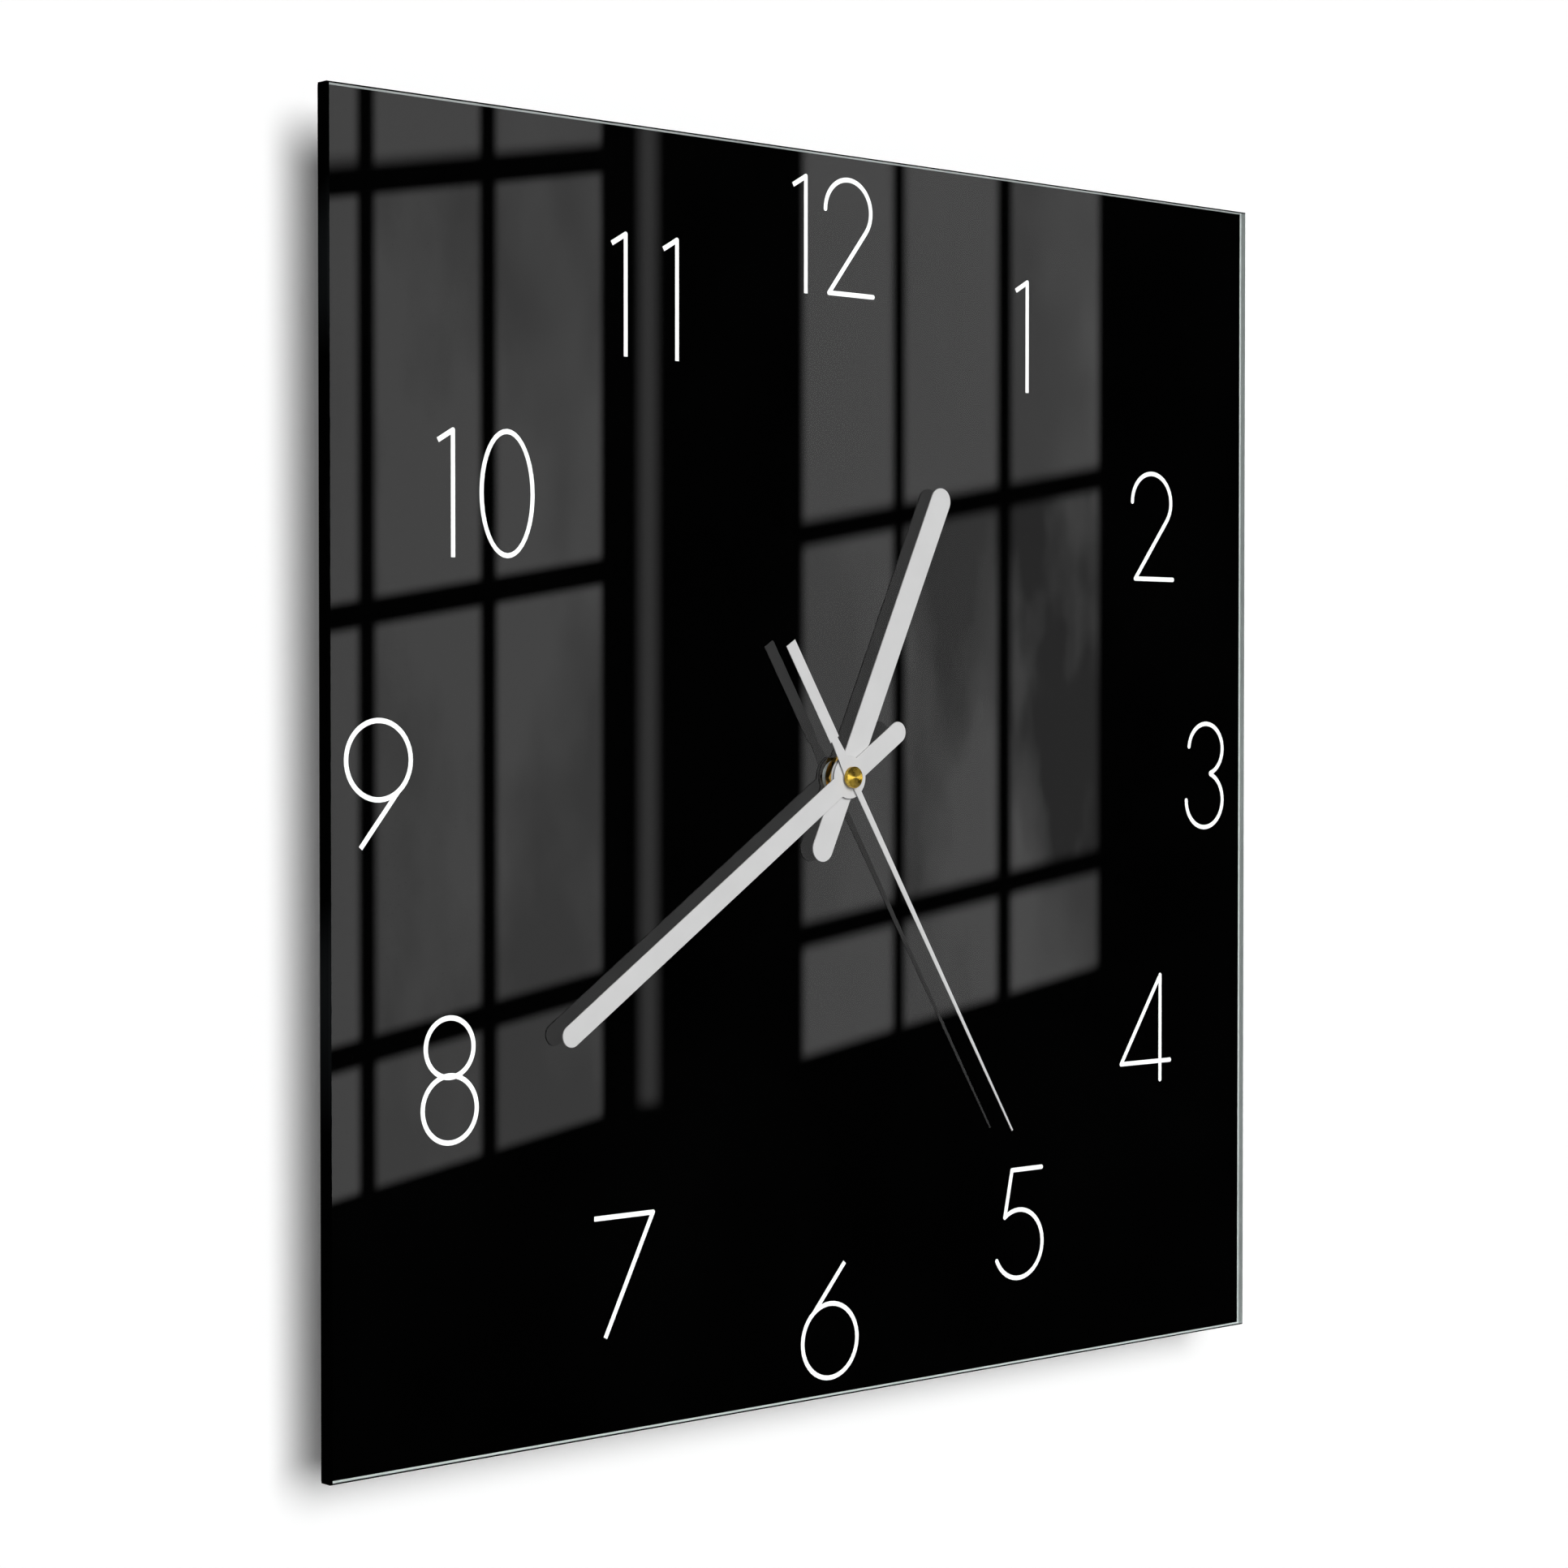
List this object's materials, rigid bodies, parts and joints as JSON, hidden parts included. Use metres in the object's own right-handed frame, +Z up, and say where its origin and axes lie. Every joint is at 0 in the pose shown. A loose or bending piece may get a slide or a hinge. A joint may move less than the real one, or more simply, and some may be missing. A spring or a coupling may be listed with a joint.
{
  "type": "wall clock",
  "caption": "Square glass-faced wall clock with a back-printed dial, strip hands, a quartz movement and a keyhole hanger.",
  "frame": {"origin": "centre of the hanger's keyhole on the wall plane", "axes": "+Z up, +X right seen from the front, -Y out of the wall towards the viewer; the dial faces -Y"},
  "size_m": [0.3, 0.0285, 0.3],
  "materials": {
    "clear_glass": "polished clear glass",
    "black_print": "opaque black print",
    "white_print": "opaque white print",
    "hand_paint": "satin light grey paint on aluminium",
    "spun_brass": "fine turned brass",
    "black_rubber": "matt black rubber",
    "zinc_steel": "zinc-plated pressed steel",
    "case_plastic": "fine-textured black moulded plastic",
    "pale_plastic": "natural white moulded acetal",
    "cell_can": "nickel-plated steel",
    "cell_wrap": "shrink-wrapped film",
    "contact_metal": "nickel-plated spring strip",
    "board_laminate": "green solder mask on laminate",
    "black_epoxy": "glossy black epoxy",
    "core_iron": "annealed soft iron",
    "copper_wire": "enamelled copper wire",
    "magnet_black": "sintered magnet",
    "arbor_steel": "drawn steel wire"
  },
  "bodies": {
    "clock": {"glass_panel": "clear_glass", "dial_print": "black_print", "numerals": "white_print", "wall_bumpers": "black_rubber", "hanger_plate": "zinc_steel", "sealing_washer": "black_rubber", "front_washer": "spun_brass", "hex_nut": "spun_brass", "case_front": "case_plastic", "case_rear": "case_plastic", "middle_plate": "pale_plastic", "threaded_bush": "spun_brass", "battery_can": "cell_can", "battery_sleeve": "cell_wrap", "contact_positive": "contact_metal", "contact_negative": "contact_metal", "circuit_board": "board_laminate", "chip_cover": "black_epoxy", "quartz_crystal": "cell_can", "stator": "core_iron", "coil_core": "core_iron", "coil_bobbin": "pale_plastic", "coil_winding": "copper_wire"},
    "minutes": {"minute_wheel": "pale_plastic", "minute_pipe": "spun_brass", "minute_hand": "hand_paint"},
    "hours": {"hour_wheel": "pale_plastic", "hour_hand": "hand_paint"},
    "motion": {"motion_wheel": "pale_plastic", "setting_knob": "case_plastic"},
    "third": {"third_wheel": "pale_plastic"},
    "seconds": {"second_wheel": "pale_plastic", "second_arbor": "arbor_steel", "second_hand": "hand_paint", "second_hand_tube": "spun_brass", "second_hand_cap": "spun_brass"},
    "fifth": {"fifth_wheel": "pale_plastic"},
    "rotor": {"rotor_magnet": "magnet_black", "rotor_pinion": "pale_plastic"}
  },
  "joints": [
    {"name": "minute_turn", "type": "hinge", "parent": "clock", "child": "minutes", "pos_m": [0, -0.01, -0.04], "axis": [0, 1, 0], "continuous": true},
    {"name": "hour_turn", "type": "hinge", "parent": "clock", "child": "hours", "pos_m": [0, -0.01, -0.04], "axis": [0, 1, 0], "continuous": true},
    {"name": "knob_turn", "type": "hinge", "parent": "clock", "child": "motion", "pos_m": [0.01036, -0.01, -0.03909], "axis": [0, 1, 0], "continuous": true},
    {"name": "third_turn", "type": "hinge", "parent": "clock", "child": "third", "pos_m": [-0.00947, -0.01, -0.03655], "axis": [0, 1, 0], "continuous": true},
    {"name": "second_turn", "type": "hinge", "parent": "clock", "child": "seconds", "pos_m": [0, -0.01, -0.04], "axis": [0, 1, 0], "continuous": true},
    {"name": "fifth_turn", "type": "hinge", "parent": "clock", "child": "fifth", "pos_m": [0.00336, -0.01, -0.03418], "axis": [0, 1, 0], "continuous": true},
    {"name": "rotor_turn", "type": "hinge", "parent": "clock", "child": "rotor", "pos_m": [0.00672, -0.01, -0.02836], "axis": [0, 1, 0], "continuous": true}
  ],
  "couplings": [
    {"joint": "hour_turn", "follows": "minute_turn", "ratio": 0.083333},
    {"joint": "knob_turn", "follows": "minute_turn", "ratio": -0.33333},
    {"joint": "third_turn", "follows": "minute_turn", "ratio": -8},
    {"joint": "second_turn", "follows": "minute_turn", "ratio": 60},
    {"joint": "fifth_turn", "follows": "minute_turn", "ratio": -300},
    {"joint": "rotor_turn", "follows": "minute_turn", "ratio": 1800}
  ]
}
